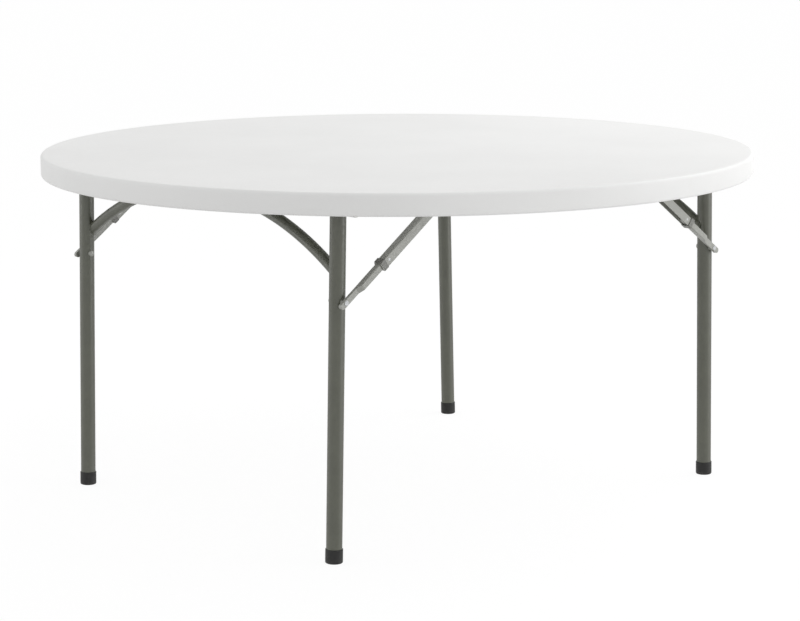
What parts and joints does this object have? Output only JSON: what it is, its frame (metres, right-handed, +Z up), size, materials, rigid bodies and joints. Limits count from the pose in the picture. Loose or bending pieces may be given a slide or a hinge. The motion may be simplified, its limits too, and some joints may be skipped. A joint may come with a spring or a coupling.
{
  "type": "round folding table",
  "caption": "Round moulded plastic table top on two folding sets of splayed round steel legs, each leg held by a folding brace with a sliding lock ring.",
  "frame": {"origin": "on the floor under the middle of the round top", "axes": "+Z up; +X from the left leg set to the right one; +Y along the cross tubes"},
  "size_m": [1.5239, 1.5238, 0.7366],
  "materials": {
    "top_plastic": "blow-moulded polyethylene, finely pebbled, light satin",
    "frame_paint": "grey powder coat, satin, slightly hammered",
    "brace_paint": "lighter grey powder coat, satin",
    "ring_steel": "dark coated steel",
    "zinc": "bright zinc plate",
    "cap_plastic": "black polyethylene, satin",
    "bush_plastic": "natural nylon"
  },
  "bodies": {
    "table": {"tabletop": "top_plastic", "saddle_screws": "zinc", "bracket_screws": "zinc", "bracket_rivets": "zinc", "left_front_pivot_saddle": "zinc", "left_front_pivot_bush": "bush_plastic", "left_front_brace_bracket": "frame_paint", "left_rear_pivot_saddle": "zinc", "left_rear_pivot_bush": "bush_plastic", "left_rear_brace_bracket": "frame_paint", "right_front_pivot_saddle": "zinc", "right_front_pivot_bush": "bush_plastic", "right_front_brace_bracket": "frame_paint", "right_rear_pivot_saddle": "zinc", "right_rear_pivot_bush": "bush_plastic", "right_rear_brace_bracket": "frame_paint"},
    "left_legs": {"left_cross_tube": "frame_paint", "left_front_leg": "frame_paint", "left_front_gusset": "frame_paint", "left_front_foot_cap": "cap_plastic", "left_front_brace_boss": "brace_paint", "left_front_tube_plug": "cap_plastic", "left_rear_leg": "frame_paint", "left_rear_gusset": "frame_paint", "left_rear_foot_cap": "cap_plastic", "left_rear_brace_boss": "brace_paint", "left_rear_tube_plug": "cap_plastic"},
    "right_legs": {"right_cross_tube": "frame_paint", "right_front_leg": "frame_paint", "right_front_gusset": "frame_paint", "right_front_foot_cap": "cap_plastic", "right_front_brace_boss": "brace_paint", "right_front_tube_plug": "cap_plastic", "right_rear_leg": "frame_paint", "right_rear_gusset": "frame_paint", "right_rear_foot_cap": "cap_plastic", "right_rear_brace_boss": "brace_paint", "right_rear_tube_plug": "cap_plastic"},
    "left_front_upper": {"left_front_upper_arm": "brace_paint", "left_front_knee_rivet": "zinc"},
    "left_front_lower": {"left_front_lower_arm": "brace_paint", "left_front_leg_rivet": "zinc"},
    "left_front_ring": {"left_front_lock_ring": "ring_steel"},
    "left_rear_upper": {"left_rear_upper_arm": "brace_paint", "left_rear_knee_rivet": "zinc"},
    "left_rear_lower": {"left_rear_lower_arm": "brace_paint", "left_rear_leg_rivet": "zinc"},
    "left_rear_ring": {"left_rear_lock_ring": "ring_steel"},
    "right_front_upper": {"right_front_upper_arm": "brace_paint", "right_front_knee_rivet": "zinc"},
    "right_front_lower": {"right_front_lower_arm": "brace_paint", "right_front_leg_rivet": "zinc"},
    "right_front_ring": {"right_front_lock_ring": "ring_steel"},
    "right_rear_upper": {"right_rear_upper_arm": "brace_paint", "right_rear_knee_rivet": "zinc"},
    "right_rear_lower": {"right_rear_lower_arm": "brace_paint", "right_rear_leg_rivet": "zinc"},
    "right_rear_ring": {"right_rear_lock_ring": "ring_steel"}
  },
  "joints": [
    {"name": "left_fold", "type": "hinge", "parent": "table", "child": "left_legs", "pos_m": [-0.51, 0, 0.69962], "axis": [0, -1, 0], "range_deg": [0, 91.5]},
    {"name": "right_fold", "type": "hinge", "parent": "table", "child": "right_legs", "pos_m": [0.51, 0, 0.69962], "axis": [0, 1, 0], "range_deg": [0, 91.5]},
    {"name": "left_front_arm_hinge", "type": "hinge", "parent": "table", "child": "left_front_upper", "pos_m": [-0.25827, -0.4211, 0.69962], "axis": [0, 1, 0], "range_deg": [0, 36]},
    {"name": "left_front_knee", "type": "hinge", "parent": "left_front_upper", "child": "left_front_lower", "pos_m": [-0.41296, -0.4211, 0.58723], "axis": [0, -1, 0], "range_deg": [0, 180]},
    {"name": "left_front_ring_slide", "type": "slide", "parent": "left_front_upper", "child": "left_front_ring", "axis": [0.809, 0, 0.5878], "range_m": [0, 0.16]},
    {"name": "left_rear_arm_hinge", "type": "hinge", "parent": "table", "child": "left_rear_upper", "pos_m": [-0.25827, 0.4611, 0.69962], "axis": [0, 1, 0], "range_deg": [0, 36]},
    {"name": "left_rear_knee", "type": "hinge", "parent": "left_rear_upper", "child": "left_rear_lower", "pos_m": [-0.41296, 0.4611, 0.58723], "axis": [0, -1, 0], "range_deg": [0, 180]},
    {"name": "left_rear_ring_slide", "type": "slide", "parent": "left_rear_upper", "child": "left_rear_ring", "axis": [0.809, 0, 0.5878], "range_m": [0, 0.16]},
    {"name": "right_front_arm_hinge", "type": "hinge", "parent": "table", "child": "right_front_upper", "pos_m": [0.25827, -0.4611, 0.69962], "axis": [0, -1, 0], "range_deg": [0, 36]},
    {"name": "right_front_knee", "type": "hinge", "parent": "right_front_upper", "child": "right_front_lower", "pos_m": [0.41296, -0.4611, 0.58723], "axis": [0, 1, 0], "range_deg": [0, 180]},
    {"name": "right_front_ring_slide", "type": "slide", "parent": "right_front_upper", "child": "right_front_ring", "axis": [-0.809, 0, 0.5878], "range_m": [0, 0.16]},
    {"name": "right_rear_arm_hinge", "type": "hinge", "parent": "table", "child": "right_rear_upper", "pos_m": [0.25827, 0.4211, 0.69962], "axis": [0, -1, 0], "range_deg": [0, 36]},
    {"name": "right_rear_knee", "type": "hinge", "parent": "right_rear_upper", "child": "right_rear_lower", "pos_m": [0.41296, 0.4211, 0.58723], "axis": [0, 1, 0], "range_deg": [0, 180]},
    {"name": "right_rear_ring_slide", "type": "slide", "parent": "right_rear_upper", "child": "right_rear_ring", "axis": [-0.809, 0, 0.5878], "range_m": [0, 0.16]}
  ],
  "couplings": [
    {"joint": "left_front_arm_hinge", "follows": "left_fold", "ratio": 0.39344},
    {"joint": "left_front_knee", "follows": "left_fold", "ratio": 1.9672},
    {"joint": "left_front_ring_slide", "follows": "left_fold", "m_per_rad": 0.10019},
    {"joint": "left_rear_arm_hinge", "follows": "left_fold", "ratio": 0.39344},
    {"joint": "left_rear_knee", "follows": "left_fold", "ratio": 1.9672},
    {"joint": "left_rear_ring_slide", "follows": "left_fold", "m_per_rad": 0.10019},
    {"joint": "right_front_arm_hinge", "follows": "right_fold", "ratio": 0.39344},
    {"joint": "right_front_knee", "follows": "right_fold", "ratio": 1.9672},
    {"joint": "right_front_ring_slide", "follows": "right_fold", "m_per_rad": 0.10019},
    {"joint": "right_rear_arm_hinge", "follows": "right_fold", "ratio": 0.39344},
    {"joint": "right_rear_knee", "follows": "right_fold", "ratio": 1.9672},
    {"joint": "right_rear_ring_slide", "follows": "right_fold", "m_per_rad": 0.10019}
  ]
}
